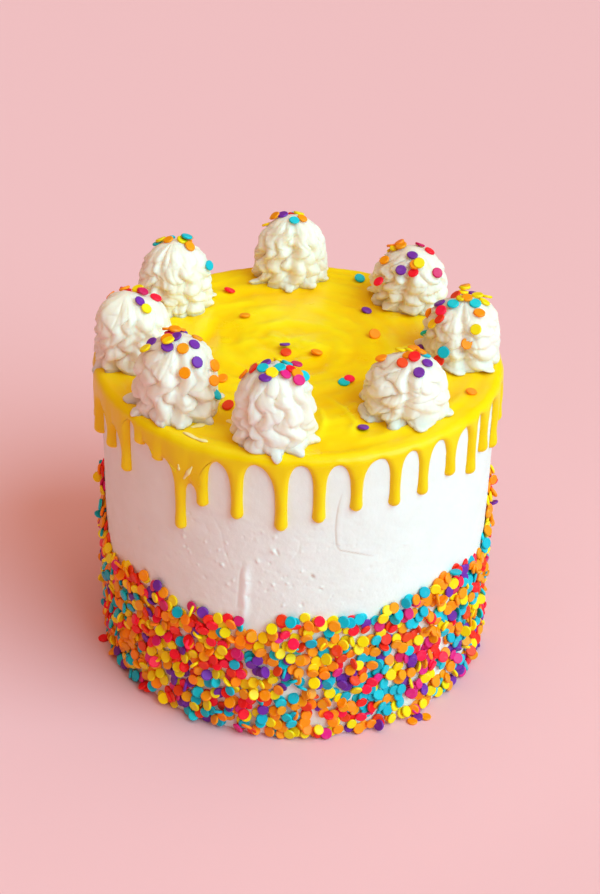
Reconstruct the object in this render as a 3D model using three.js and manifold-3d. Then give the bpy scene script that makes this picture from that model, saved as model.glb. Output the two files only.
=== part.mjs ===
// A tall round birthday cake. A white buttercream cylinder stands on its flat foot. Yellow glaze
// covers the top, rolls over the rim and runs down the wall in drips. Eight buttercream swirls are
// piped round the top. Flat round confetti sprinkles are pressed into the lower wall, dropped on
// the swirls and scattered over the glaze. The cake has no candles and isn't cut.
// Lengths are millimetres, +Z is up, -Y is the front, and the origin is the centre of the foot.
// Angles are degrees round the cake from its front, growing towards +X.
import * as THREE from "three";
import { mergeVertices } from "three/addons/utils/BufferGeometryUtils.js";
import Module from "manifold-3d";

// Driving dimensions of the cake and its glaze.
const CAKE_RADIUS = 82.5;
const CAKE_TOP = 134.5;
const GLAZE_TOP = 136.75;
const ROUND_STEPS = 54;
const WALL_UNEVENNESS = 0.2;

// Driving dimensions of the confetti sprinkles, which are flat round discs.
const DISC_RADIUS = 2.4;
const DISC_THICKNESS = 1.5;
const DISC_SIDES = 7;
const WALL_DISCS = 120;
const BAND_DEPTH = 1.5;
const DISCS_ON_SWIRL = 3;

// The upper edge of the sprinkled band, as [angle, height].
const BAND_EDGE = [
  [-180, 66], [-140, 72], [-100, 73], [-82, 68], [-70, 54], [-56, 62], [-42, 65], [-34, 59],
  [-16, 61], [-10, 55], [-3, 65], [24, 63], [47, 70], [72, 59], [86, 73], [120, 71], [150, 63],
];

// The drips, as [angle, length below the glaze's top, half of the width where it leaves the rim].
const DRIPS = [
  [-78, 31, 5], [-64, 26, 5], [-55, 30, 5], [-48, 12, 4], [-41, 15, 4], [-33, 42, 6], [-26, 28, 6],
  [-16, 30, 5], [-4, 33, 6], [6, 29, 5], [16, 25, 6], [27, 26, 5], [36, 25, 5], [46, 22, 4],
  [56, 28, 4], [63, 23, 4], [74, 30, 4], [82, 24, 4], [92, 27, 5], [103, 34, 6], [112, 21, 4],
  [122, 29, 5], [133, 24, 5], [142, 37, 6], [152, 26, 5], [163, 31, 5], [172, 20, 4], [181, 28, 5],
  [192, 33, 6], [201, 23, 4], [211, 30, 5], [222, 26, 5], [231, 38, 6], [242, 22, 4], [252, 29, 5],
  [262, 25, 5], [272, 33, 5],
];

const DRIP_WIDTH = 5.2;
const DRIP_DEPTH = 2;
const DRIP_FLARE = 9;
const DRIP_BACK = 0.8;

// The piped swirls: where each stands, its foot's width along the rim and depth towards the middle,
// its height, its ridges and how far they twist.
const SWIRLS = [
  { name: "back", angle: -176, ring: 70, width: 34, depth: 28.5, height: 30, ridges: 8, twist: 20 },
  { name: "back_left", angle: -127, ring: 68.5, width: 35, depth: 32, height: 30, ridges: 8, twist: -16 },
  { name: "left", angle: -83, ring: 69, width: 32, depth: 31, height: 30, ridges: 8, twist: 24 },
  { name: "front_left", angle: -45, ring: 67, width: 34, depth: 34, height: 32, ridges: 8, twist: 14 },
  { name: "front", angle: -8, ring: 69, width: 32.5, depth: 31, height: 33, ridges: 8, twist: -22 },
  { name: "front_right", angle: 44, ring: 61, width: 37, depth: 36, height: 25, ridges: 7, twist: 12 },
  { name: "right", angle: 91, ring: 66.5, width: 35.5, depth: 35, height: 27, ridges: 8, twist: -18 },
  { name: "back_right", angle: 136, ring: 68.5, width: 35.5, depth: 32, height: 26, ridges: 8, twist: 26 },
];

// How a swirl narrows, as [share of its height, share of its foot's radius].
const SWIRL_PROFILE = [
  [0, 0.9], [0.08, 0.98], [0.26, 0.97], [0.46, 0.95], [0.66, 0.87], [0.83, 0.67], [0.94, 0.4],
];
const GROOVE_DEPTH = 0.3;
const TIER_DEPTH = 0.05;
const POINTS_ON_RIDGE = 3;

// The sprinkles that lie on the glaze, as [distance towards +X, distance towards +Y].
const GLAZE_DISCS = [
  [-35, 71], [-32, 52], [-24, 29], [-6, 0], [7, -3], [31, 14], [28, 36], [25, 67], [20, -24],
  [25, -62], [68, -32],
];

const materials = {
  buttercream: new THREE.MeshStandardMaterial({ color: 0xf4eee6, roughness: 0.65, metalness: 0 }),
  glaze: new THREE.MeshStandardMaterial({ color: 0xfbd000, roughness: 0.25, metalness: 0 }),
  swirl: new THREE.MeshStandardMaterial({ color: 0xfaf5ea, roughness: 0.5, metalness: 0 }),
};

const wasm = await Module();
wasm.setup();

// A repeatable stream of random numbers from 0 to 1.
function randomStream(seed) {
  let state = seed;
  return () => {
    state = (state + 0x6d2b79f5) | 0;
    let mixed = Math.imul(state ^ (state >>> 15), 1 | state);
    mixed = (mixed + Math.imul(mixed ^ (mixed >>> 7), 61 | mixed)) ^ mixed;
    return ((mixed ^ (mixed >>> 14)) >>> 0) / 2 ** 32;
  };
}

// The point at an angle from the front, a distance from the axis and a height.
function around(angle, radius, height) {
  const turn = THREE.MathUtils.degToRad(angle - 90);
  return new THREE.Vector3(radius * Math.cos(turn), radius * Math.sin(turn), height);
}

// One ring of points round the cake, where place gives the point at each angle.
function ringOf(place, steps = ROUND_STEPS) {
  return Array.from({ length: steps }, (_, i) => place((i * 360) / steps));
}

// The closed skin over rings of points that run the same way round, from the lowest to the highest.
// The first and last rings are single points.
function skin(rings) {
  const starts = [];
  rings.reduce((count, ring) => (starts.push(count), count + ring.length), 0);
  const index = [];
  for (let i = 1; i < rings.length; i++) {
    const [below, above] = [rings[i - 1], rings[i]];
    const sides = Math.max(below.length, above.length);
    for (let k = 0; k < sides; k++) {
      const next = (k + 1) % sides;
      const low = (j) => starts[i - 1] + (below.length > 1 ? j : 0);
      const high = (j) => starts[i] + (above.length > 1 ? j : 0);
      if (below.length > 1) index.push(low(k), low(next), high(next));
      if (above.length > 1) index.push(low(k), high(next), high(k));
    }
  }
  return new THREE.BufferGeometry().setFromPoints(rings.flat()).setIndex(index);
}

// A closed geometry as a solid that can be joined and cut.
function solidOf(geometry) {
  const bare = geometry.clone();
  bare.deleteAttribute("normal");
  bare.deleteAttribute("uv");
  const merged = mergeVertices(bare, 1e-4);
  const vertProperties = merged.attributes.position.array;
  const triVerts = new Uint32Array(merged.index.array);
  return new wasm.Manifold(new wasm.Mesh({ numProp: 3, vertProperties, triVerts }));
}

function joined(solid, others) {
  return others.reduce((whole, other) => whole.add(other), solid);
}

function meshOf(name, solid, material) {
  const { vertProperties, triVerts } = solid.getMesh();
  const geometry = new THREE.BufferGeometry();
  geometry.setAttribute("position", new THREE.BufferAttribute(vertProperties, 3));
  geometry.setIndex(new THREE.BufferAttribute(triVerts, 1));
  geometry.computeVertexNormals();
  const mesh = new THREE.Mesh(geometry, material);
  mesh.name = name;
  return mesh;
}

// One confetti disc centred on a point, facing along normal and then tipped by tilt degrees
// towards the side that heading gives.
function disc(centre, normal, tilt, heading) {
  const geometry = new THREE.CylinderGeometry(
    DISC_RADIUS, DISC_RADIUS, DISC_THICKNESS, DISC_SIDES,
  );
  const up = new THREE.Vector3(0, 1, 0);
  const tipAxis = new THREE.Vector3(Math.cos(heading), 0, Math.sin(heading));
  const tipped = new THREE.Quaternion().setFromAxisAngle(tipAxis, THREE.MathUtils.degToRad(tilt));
  const facing = new THREE.Quaternion().setFromUnitVectors(up, normal.clone().normalize());
  geometry.applyQuaternion(tipped).applyQuaternion(facing);
  return solidOf(geometry.translate(centre.x, centre.y, centre.z));
}

// The height of the sprinkled band at an angle, eased between the points of its upper edge.
function bandEdge(angle) {
  const turned = ((((angle + 180) % 360) + 360) % 360) - 180;
  const edge = [...BAND_EDGE, [180, BAND_EDGE[0][1]]];
  const i = edge.findIndex(([at]) => at > turned);
  const [[fromAngle, from], [toAngle, to]] = [edge[i - 1], edge[i]];
  return from + (to - from) * THREE.MathUtils.smoothstep(turned, fromAngle, toAngle);
}

// The buttercream wall is smoothed by hand, so it is a little out of round.
function wallRadius(angle, height) {
  const turn = THREE.MathUtils.degToRad(angle);
  const waves = Math.sin(3 * turn + 0.8) + Math.sin(5 * turn + height / 24) * 0.6;
  return CAKE_RADIUS + WALL_UNEVENNESS * waves;
}

// The cake without its glaze, with the layer of sprinkles at its foot standing proud of the wall.
function cakeCore() {
  const wall = (height, proud) =>
    ringOf((angle) => around(angle, wallRadius(angle, height) + proud, height));
  const alongEdge = (rise, proud) =>
    ringOf((angle) => {
      const height = bandEdge(angle) + rise;
      return around(angle, wallRadius(angle, height) + proud, height);
    });
  return solidOf(skin([
    [around(0, 0, 0)],
    wall(0, BAND_DEPTH),
    alongEdge(-2.5, BAND_DEPTH),
    alongEdge(-0.5, 0),
    wall(CAKE_TOP - 2, 0),
    wall(CAKE_TOP, -1.5),
    [around(0, 0, CAKE_TOP)],
  ]));
}

// The sprinkles pressed into the lower wall. The golden angle spreads them evenly round it, and
// their height climbs from the foot to the band's edge.
function wallDiscs() {
  const random = randomStream(11);
  const goldenAngle = 137.508;
  const lowest = DISC_RADIUS + 0.5;
  return Array.from({ length: WALL_DISCS }, (_, i) => {
    const angle = i * goldenAngle;
    const share = (i + 0.5) / WALL_DISCS;
    const height = lowest + share * (bandEdge(angle) - 2 - lowest);
    const tilt = 8 * random();
    const centre = around(angle, wallRadius(angle, height) + BAND_DEPTH, height);
    return disc(centre, around(angle, 1, 0), tilt, random() * 2 * Math.PI);
  });
}

function cake() {
  return meshOf("buttercream_cake", joined(cakeCore(), wallDiscs()), materials.buttercream);
}

// The glaze over the top and the rim, down to a wavy lower edge between the drips. It lies flat on
// the cake's top, and hangs just clear of the wall.
function glazeCap() {
  const edge = (angle) => {
    const turn = THREE.MathUtils.degToRad(angle);
    const deepSide = 7 * Math.exp(-(((angle > 180 ? angle - 360 : angle) + 42) ** 2) / 200);
    return GLAZE_TOP - 4.7 - 0.6 * Math.sin(7 * turn + 1) - deepSide;
  };
  const level = (radius, height) => ringOf((angle) => around(angle, radius, height));
  const alongEdge = (radius, rise) => ringOf((angle) => around(angle, radius, edge(angle) + rise));
  return solidOf(skin([
    [around(0, 0, CAKE_TOP)],
    level(CAKE_RADIUS - 0.8, CAKE_TOP),
    level(CAKE_RADIUS + DRIP_BACK, CAKE_TOP - 2.2),
    alongEdge(CAKE_RADIUS + DRIP_BACK, 0),
    alongEdge(CAKE_RADIUS + 2.2, 1),
    level(CAKE_RADIUS + 2.4, GLAZE_TOP - 2.6),
    level(CAKE_RADIUS + 1.2, GLAZE_TOP - 0.8),
    level(CAKE_RADIUS - 2, GLAZE_TOP),
    [around(0, 0, GLAZE_TOP)],
  ]));
}

// One drip: a flat-backed bead that leaves the rim wide, narrows, and ends in a rounded bulb.
// Each ring is [height, half width, depth out from the bead's back].
function drip([angle, length, flare]) {
  const tip = GLAZE_TOP - length;
  const half = DRIP_WIDTH / 2;
  const flareDepth = Math.min(DRIP_FLARE, length * 0.5);
  const rings = [
    [tip + 0.7, half * 0.68, DRIP_DEPTH * 0.8],
    [tip + 2.8, half * 1.04, DRIP_DEPTH * 1.1],
    [GLAZE_TOP - flareDepth - 2.5, half, DRIP_DEPTH * 0.85],
    [GLAZE_TOP - flareDepth * 0.5 - 1.5, (half + flare) / 2, DRIP_DEPTH * 0.9],
    [GLAZE_TOP - 3.4, flare, DRIP_DEPTH * 0.65],
  ];
  const section = [[-1, 0], [-0.66, 0.76], [0, 1], [0.66, 0.76], [1, 0]];
  const out = around(angle, 1, 0);
  const side = around(angle + 90, 1, 0);
  const place = (across, depth, height) =>
    around(angle, CAKE_RADIUS + DRIP_BACK, height)
      .addScaledVector(side, across)
      .addScaledVector(out, depth);
  const [lowRing, highRing] = [rings[0], rings.at(-1)];
  return solidOf(skin([
    [place(0, lowRing[2] * 0.3, tip)],
    ...rings.map(([height, width, depth]) =>
      section.map(([across, rise]) => place(across * width, rise * depth, height))),
    [place(0, highRing[2] * 0.5, highRing[0] + 0.2)],
  ]));
}

function glazeDiscs() {
  const random = randomStream(23);
  const lift = DISC_THICKNESS / 2 - 0.35;
  return GLAZE_DISCS.map(([x, y]) => {
    const centre = new THREE.Vector3(x, y, GLAZE_TOP + lift);
    return disc(centre, new THREE.Vector3(0, 0, 1), 5 * random(), random() * 2 * Math.PI);
  });
}

function glaze() {
  const poured = joined(glazeCap(), DRIPS.map(drip));
  return meshOf("yellow_drip_glaze", joined(poured, glazeDiscs()), materials.glaze);
}

// The radius of a swirl's profile at a share of its height.
function profileRadius(share) {
  const profile = [...SWIRL_PROFILE, [1, 0]];
  const i = Math.max(1, profile.findIndex(([at]) => at >= share));
  const [[fromShare, from], [toShare, to]] = [profile[i - 1], profile[i]];
  return from + ((to - from) * (share - fromShare)) / (toShare - fromShare);
}

// A point on a swirl's skin, from the centre of its foot. Along counts ridges round the swirl. A
// star-shaped nozzle leaves rounded ridges with sharp grooves between them. They twist as they
// climb, and swell where the cream folded over itself in tiers.
function swirlPoint({ width, depth, height, ridges, twist }, along, share) {
  const crest = Math.abs(Math.sin(Math.PI * along)) ** 0.7;
  const groove = GROOVE_DEPTH * (1 - 0.6 * share) * (1 - crest);
  const tier = TIER_DEPTH * Math.cos(share * 6 * Math.PI + Math.floor(along) * 1.9) * crest;
  const reach = profileRadius(share) * (1 - groove + tier);
  const spot = around((along * 360) / ridges + twist * share, reach, height * share);
  return spot.multiply(new THREE.Vector3(width / 2, depth / 2, 1));
}

function swirlSkin(swirl) {
  const points = swirl.ridges * POINTS_ON_RIDGE;
  const ring = ([share]) =>
    Array.from({ length: points }, (_, i) => swirlPoint(swirl, i / POINTS_ON_RIDGE, share));
  return solidOf(skin([
    [around(0, 0, 0)],
    ...SWIRL_PROFILE.map(ring),
    [around(0, 0, swirl.height)],
  ]));
}

// The sprinkles dropped on a swirl's crown, each on the crest of a ridge, spread round it.
function crownDiscs(swirl, seed) {
  const random = randomStream(seed);
  return Array.from({ length: DISCS_ON_SWIRL }, (_, i) => {
    const along = Math.floor(((i + random()) * swirl.ridges) / DISCS_ON_SWIRL) + 0.5;
    const spot = swirlPoint(swirl, along, 0.7 + 0.18 * random());
    const lean = spot.clone().setZ(swirl.width * 0.35);
    const centre = spot.addScaledVector(lean.clone().normalize(), -0.25);
    return disc(centre, lean, 12 * random(), random() * 2 * Math.PI);
  });
}

function swirlMesh(swirl, i) {
  const solid = joined(swirlSkin(swirl), crownDiscs(swirl, 41 + i));
  const mesh = meshOf(`swirl_${swirl.name}`, solid, materials.swirl);
  mesh.position.copy(around(swirl.angle, swirl.ring, GLAZE_TOP));
  mesh.rotation.z = THREE.MathUtils.degToRad(swirl.angle);
  return mesh;
}

const birthdayCake = new THREE.Group();
birthdayCake.add(cake(), glaze(), ...SWIRLS.map(swirlMesh));

export default birthdayCake;
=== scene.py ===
import math

import bmesh
import bpy
import numpy as np
from mathutils import Matrix, Vector, noise
from mathutils.bvhtree import BVHTree


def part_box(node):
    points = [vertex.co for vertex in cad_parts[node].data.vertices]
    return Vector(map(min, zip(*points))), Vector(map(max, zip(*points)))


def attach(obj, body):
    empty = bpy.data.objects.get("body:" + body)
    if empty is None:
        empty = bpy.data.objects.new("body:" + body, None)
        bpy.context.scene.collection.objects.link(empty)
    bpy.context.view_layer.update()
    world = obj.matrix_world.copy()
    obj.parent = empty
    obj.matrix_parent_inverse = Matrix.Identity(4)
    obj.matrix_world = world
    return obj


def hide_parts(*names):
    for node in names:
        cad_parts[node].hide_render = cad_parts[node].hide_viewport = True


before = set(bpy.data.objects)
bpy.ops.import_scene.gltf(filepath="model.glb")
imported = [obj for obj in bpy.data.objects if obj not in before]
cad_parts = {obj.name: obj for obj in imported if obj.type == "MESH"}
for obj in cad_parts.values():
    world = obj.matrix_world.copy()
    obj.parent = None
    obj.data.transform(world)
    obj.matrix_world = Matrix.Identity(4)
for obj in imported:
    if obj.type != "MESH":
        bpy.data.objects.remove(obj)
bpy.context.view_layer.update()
MM = 0.001


# The photographer's place. The camera stands before the cake and well above it, looks down on its
# top and is tipped slightly to one side. Places are in millimetres, angles in radians, and the
# focal length and the optical centre in pixels of the photograph.
PHOTO_WIDTH = 600
PHOTO_HEIGHT = 894
CAMERA_PLACE = (0, -618.5, 475.2)
LOOK_DOWN = 0.5567
CAMERA_ROLL = 0.0247
FOCAL_PIXELS = 1700
OPTICAL_CENTRE_X = 297.87
SENSOR_WIDTH = 36
# How far the camera sees, in metres, which takes in the whole floor.
FARTHEST = 80


def new_object(name, data):
    """An object in the scene, at the origin."""
    made = bpy.data.objects.new(name, data)
    bpy.context.collection.objects.link(made)
    return made


looking = Matrix.Rotation(math.pi / 2 - LOOK_DOWN, 4, "X") @ Matrix.Rotation(CAMERA_ROLL, 4, "Z")
camera_data = bpy.data.cameras.new("camera")
camera_data.sensor_width = SENSOR_WIDTH
camera_data.lens = FOCAL_PIXELS * SENSOR_WIDTH / PHOTO_HEIGHT
camera_data.shift_x = (PHOTO_WIDTH / 2 - OPTICAL_CENTRE_X) / PHOTO_HEIGHT
camera_data.clip_end = FARTHEST
camera = new_object("camera", camera_data)
camera.matrix_world = Matrix.Translation(Vector(CAMERA_PLACE) * MM) @ looking
bpy.context.scene.camera = camera


def sight_line(pixel_x, pixel_y):
    """The direction from the camera through a pixel of the photograph."""
    across = pixel_x - OPTICAL_CENTRE_X
    up = PHOTO_HEIGHT / 2 - pixel_y
    return (looking.to_3x3() @ Vector((across, up, -FOCAL_PIXELS))).normalized()


# The cake itself: a tall round layer cake coated with white buttercream, which was smoothed with a
# scraper. It keeps the scraper's faint level lines, a crack, a smear and small torn spots.
CAKE_RADIUS = 82.5
CAKE_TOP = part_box("buttercream_cake")[1].z / MM
CORNER_RADIUS = 1.6
# How far the smoothed wall is from truly round.
WALL_UNEVENNESS = 0.2
# The wall's columns, as [from angle, to angle, spacing]. They are finer where the marks are.
WALL_COLUMNS = [(-180, -95, 2.2), (-95, -45, 0.75), (-45, 30, 0.36), (30, 95, 0.9), (95, 180, 2.2)]
# Its rows above the foot, as [from height, to height, spacing].
WALL_ROWS = [(1, 50, 7), (50, 62, 1), (62, 108, 0.48), (108, CAKE_TOP - CORNER_RADIUS, 1.15)]
# Marks in the wall, each a path of [angle, height], its width and how far it stands out.
WALL_MARKS = {
    "crack": ([(11.9, 119.5), (11.1, 114.3), (10.7, 108.6), (10.6, 103.7), (11, 96.1), (12.1, 93.8),
               (15.3, 92.3), (21.6, 88.8)], 0.3, -0.14),
    "crack_lip": ([(12.6, 119), (11.7, 108.6), (11.7, 103.7), (12, 96.5), (13, 94.6)], 0.9, 0.08),
    "smear": ([(-12.8, 86), (-13.5, 81), (-13.2, 76), (-13.8, 71), (-13.5, 66), (-14.2, 58)], 1.6, 0.65),
    "smear_edge": ([(-14.5, 85.5), (-15.2, 79), (-15.5, 72), (-15.9, 64)], 0.55, -0.16),
    "scrape_long": ([(-24.2, 107.4), (-22.1, 103.3), (-20.5, 98.9), (-19.5, 89.9), (-17.2, 82.2)],
                    0.45, -0.09),
    "scrape_arc": ([(-0.4, 100.8), (1.3, 98.8), (0.9, 94.2), (-0.7, 90.3)], 0.45, -0.1),
    "torn_1": ([(-6.4, 94.4), (-5.3, 92.8)], 1.0, 0.5),
    "torn_1_edge": ([(-5.2, 94.6), (-4.4, 92)], 0.5, -0.35),
    "torn_2": ([(-10.4, 88.9), (-9.8, 87.4)], 0.8, 0.4),
    "torn_3": ([(-6, 100.6), (-5.2, 100)], 0.9, 0.35),
    "torn_4": ([(-20.6, 84), (-20, 82.4)], 0.8, 0.4),
    "torn_5": ([(-25.8, 75.4), (-25.2, 74.2)], 0.9, -0.3),
    "torn_6": ([(4.4, 82.8), (5.2, 81.4)], 0.7, -0.45),
    "torn_7": ([(1.6, 85.2), (2.1, 84.4)], 0.7, 0.35),
    "torn_8": ([(-32.6, 91.6), (-32, 90.4)], 0.9, 0.4),
    "torn_9": ([(7.1, 77.2), (7.6, 76.4)], 0.6, 0.3),
    "torn_10": ([(2, 69), (2.2, 67.6)], 0.7, -0.35),
    "torn_11": ([(-18.9, 75.2), (-18.4, 74.2)], 0.7, 0.3),
}
# The marks with painted shade in their sunk crack, pits and groove, and the smear with a painted highlight,
# and how strongly.
GROOVE_SHADE_MARKS = {"crack": 0.5, "torn_6": 0.6, "torn_1_edge": 0.4}
HIGHLIGHT_MARKS = {"smear": 1}
# Small specks and pits that the scraper tore in the seen front: how many, how wide and how far out
# or in, the middle and the spread of their angles, and the heights between which they lie.
SPECKS = 110
SPECK_WIDTH = 0.55
SPECK_RISE = 0.36
SPECK_ANGLES = (-14, 17)
SPECK_HEIGHTS = (68, 106)
# The smoothed wall's own lumps, as [rise, size, stretch, seed]. The second are the level lines.
WALL_LUMPS = [
    (0.1, 22, (1, 1, 1.3), 2), (0.05, 1, (26, 26, 2.2), 1), (0.08, 3.4, (1, 1, 0.8), 3),
    (0.05, 1.4, (1, 1, 1), 9),
]
# The turns, in degrees, at which the wall's rounded upper corner has a row of points.
CORNER_TURNS = (80, 60, 40, 20, 0)
# The smear's painted highlight, the cream's own white and its mottled tone, and the tan of the painted shade
# in the crack and pits.
SMEAR_HIGHLIGHT_WHITE = (255, 253, 250)
CREAM_WHITE = (247, 244, 239)
CREAM_SHADE = (243, 239, 233)
PAINTED_GROOVE_SHADE = (196, 150, 120)


def around(angle, radius, height):
    """Points at an angle from the front, a distance from the axis and a height."""
    turn = np.radians(angle)
    x, y, z = np.broadcast_arrays(radius * np.sin(turn), -radius * np.cos(turn), height)
    return np.stack([x, y, z], -1)


def wall_radius(angle, height):
    """The wall's distance from the axis."""
    turn = np.radians(angle)
    return CAKE_RADIUS + WALL_UNEVENNESS * (np.sin(3 * turn + 0.8) + 0.6 * np.sin(5 * turn + height / 24))


def noise_over(points, size, stretch, seed):
    """Smooth noise from -1 to 1 at each point, with lumps of about the size, drawn out by the stretch."""
    scaled = points / (size * np.array(stretch)) + seed * 17.3
    flat = scaled.reshape(-1, 3)
    values = [noise.noise(Vector(p)) for p in flat.tolist()]
    return np.array(values).reshape(scaled.shape[:-1])


def relief_over(points, lumps):
    """How far a surface stands out at each point, from lumps given as [rise, size, stretch, seed]."""
    return sum(rise * noise_over(points, *kind) for rise, *kind in lumps)


def smooth_step(value, low, high):
    """From 0 at low to 1 at high, with level ends."""
    share = np.clip((value - low) / (high - low), 0, 1)
    return share * share * (3 - 2 * share)


def reach_of_path(across, up, path):
    """The distance from points to a path, and where along the path, from 0 to 1, each is nearest."""
    path = np.array(path, float)
    steps = np.diff(path, axis=0)
    lengths = np.hypot(*steps.T)
    starts = np.concatenate([[0], np.cumsum(lengths)])
    nearest = np.full(across.shape, np.inf)
    along = np.zeros(across.shape)
    for start, step, length, begun in zip(path, steps, lengths, starts):
        share = np.clip(((across - start[0]) * step[0] + (up - start[1]) * step[1]) / length**2, 0, 1)
        distance = np.hypot(across - start[0] - share * step[0], up - start[1] - share * step[1])
        closer = distance < nearest
        nearest = np.where(closer, distance, nearest)
        along = np.where(closer, (begun + share * length) / starts[-1], along)
    return nearest, along


def mark_shape(across, up, path, width):
    """A soft ridge along a path, 1 at its middle and fading out at its sides and both ends."""
    distance, along = reach_of_path(across, up, path)
    ends = np.clip(6 * along, 0, 1) * np.clip(6 * (1 - along), 0, 1)
    return np.exp(-((distance / width) ** 2)) * (0.35 + 0.65 * ends)


def grid_faces(rows, columns, first=0, closed=True):
    """Quads over rows of points. Columns run round the cake and rows run upwards."""
    across = np.arange(columns if closed else columns - 1)
    beside = (across + 1) % columns
    below = first + np.arange(rows - 1)[:, None] * columns
    corners = [below + across, below + beside, below + columns + beside, below + columns + across]
    return np.stack(corners, -1).reshape(-1, 4).tolist()


def fan_faces(ring, centre, upwards):
    """Triangles from a ring of point numbers to a centre point."""
    pairs = zip(ring, ring[1:] + ring[:1])
    return [(a, b, centre) if upwards else (b, a, centre) for a, b in pairs]


def mesh_piece(name, points, faces, material):
    """A smooth-shaded object from points in millimetres."""
    mesh = bpy.data.meshes.new(name)
    mesh.from_pydata((np.asarray(points) * MM).tolist(), [], faces)
    mesh.shade_smooth()
    mesh.materials.append(material)
    return new_object(name, mesh)


def add_attribute(mesh, name, values):
    """A number kept at each point of a mesh, for its material or its nodes."""
    attribute = mesh.attributes.new(name, "FLOAT", "POINT")
    attribute.data.foreach_set("value", np.asarray(values, np.float32).ravel())


def colour(red, green, blue):
    """A colour given as on a screen, 0 to 255, in the linear values that shaders use."""
    def linear(value):
        share = value / 255
        return share / 12.92 if share <= 0.04045 else ((share + 0.055) / 1.055) ** 2.4
    return (linear(red), linear(green), linear(blue), 1)


def new_material(name, base, roughness):
    """A material with its tree and its shader."""
    material = bpy.data.materials.new(name)
    material.use_nodes = True
    tree = material.node_tree
    shader = tree.nodes["Principled BSDF"]
    shader.inputs["Base Color"].default_value = base
    shader.inputs["Roughness"].default_value = roughness
    return material, tree, shader


def add_node(tree, kind, settings=(), **inputs):
    """A new node with its inputs set, or linked where the value given is a socket."""
    node = tree.nodes.new(kind)
    for name, value in dict(settings).items():
        setattr(node, name, value)
    for name, value in inputs.items():
        socket = node.inputs[name.replace("_", " ")]
        if isinstance(value, bpy.types.NodeSocket):
            tree.links.new(value, socket)
        else:
            socket.default_value = value
    return node


def sugar_grain_group():
    """The fine grain of beaten sugar and fat: a height for bumps and a mask for uneven colour."""
    group = bpy.data.node_groups.new("sugar_grain", "ShaderNodeTree")
    for name, value in (("Grains", 900), ("Lumps", 120)):
        group.interface.new_socket(name, in_out="INPUT", socket_type="NodeSocketFloat").default_value = value
    for name in ("Height", "Mottle"):
        group.interface.new_socket(name, in_out="OUTPUT", socket_type="NodeSocketFloat")
    taken = group.nodes.new("NodeGroupInput")
    given = group.nodes.new("NodeGroupOutput")
    place = add_node(group, "ShaderNodeTexCoord").outputs["Object"]
    grains = add_node(group, "ShaderNodeTexNoise", Vector=place, Scale=taken.outputs["Grains"], Detail=3)
    lumps = add_node(group, "ShaderNodeTexNoise", Vector=place, Scale=taken.outputs["Lumps"], Detail=4)
    height = add_node(group, "ShaderNodeMix", Factor=0.5)
    group.links.new(grains.outputs["Fac"], height.inputs["A"])
    group.links.new(lumps.outputs["Fac"], height.inputs["B"])
    group.links.new(height.outputs["Result"], given.inputs["Height"])
    group.links.new(lumps.outputs["Fac"], given.inputs["Mottle"])
    return group


def place_grain(tree, grains, lumps):
    """The sugar's grain in a material, with the fineness of its grains and its lumps."""
    node = tree.nodes.new("ShaderNodeGroup")
    node.node_tree = sugar_grain
    node.inputs["Grains"].default_value = grains
    node.inputs["Lumps"].default_value = lumps
    return node


def mixed_colour(tree, factor, first, second):
    """The first colour where the factor is 0 and the second where it is 1."""
    node = add_node(tree, "ShaderNodeMix", {"data_type": "RGBA"})
    for socket, value in ((node.inputs[0], factor), (node.inputs[6], first), (node.inputs[7], second)):
        if isinstance(value, bpy.types.NodeSocket):
            tree.links.new(value, socket)
        else:
            socket.default_value = value
    return node.outputs[2]


def between(tree, value, low, high, to_low=0, to_high=1):
    """A value's place between low and high, given out between two other values."""
    node = add_node(tree, "ShaderNodeMapRange", Value=value, From_Min=low, From_Max=high)
    node.inputs["To Min"].default_value = to_low
    node.inputs["To Max"].default_value = to_high
    return node.outputs["Result"]


def roughen(tree, shader, grain, strength, distance):
    """Lets the grain stand out of the surface, by a distance in metres."""
    bump = add_node(tree, "ShaderNodeBump", Height=grain.outputs["Height"], Strength=strength,
                    Distance=distance)
    tree.links.new(bump.outputs["Normal"], shader.inputs["Normal"])


sugar_grain = sugar_grain_group()


def cream_material():
    material, tree, shader = new_material("smoothed_buttercream", colour(*CREAM_WHITE), 0.55)
    grain = place_grain(tree, 1100, 90)
    # Painted shade: the sunk crack, pits and groove are darkened towards tan.
    groove_shade = add_node(tree, "ShaderNodeAttribute", {"attribute_name": "groove_shade"}).outputs["Fac"]
    uneven = mixed_colour(tree, between(tree, grain.outputs["Mottle"], 0.35, 0.7),
                          colour(*CREAM_WHITE), colour(*CREAM_SHADE))
    # Painted highlight: the smear is coloured whiter than the rest of the wall.
    smear_highlight = add_node(tree, "ShaderNodeAttribute", {"attribute_name": "smear_highlight"}).outputs["Fac"]
    smear_lit = mixed_colour(tree, smear_highlight, uneven, colour(*SMEAR_HIGHLIGHT_WHITE))
    groove_shaded = mixed_colour(tree, groove_shade, smear_lit, colour(*PAINTED_GROOVE_SHADE))
    tree.links.new(groove_shaded, shader.inputs["Base Color"])
    roughen(tree, shader, grain, 0.5, 0.0003)
    shader.inputs["Subsurface Weight"].default_value = 0.15
    shader.inputs["Subsurface Radius"].default_value = (0.004, 0.0025, 0.0018)
    return material


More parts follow.
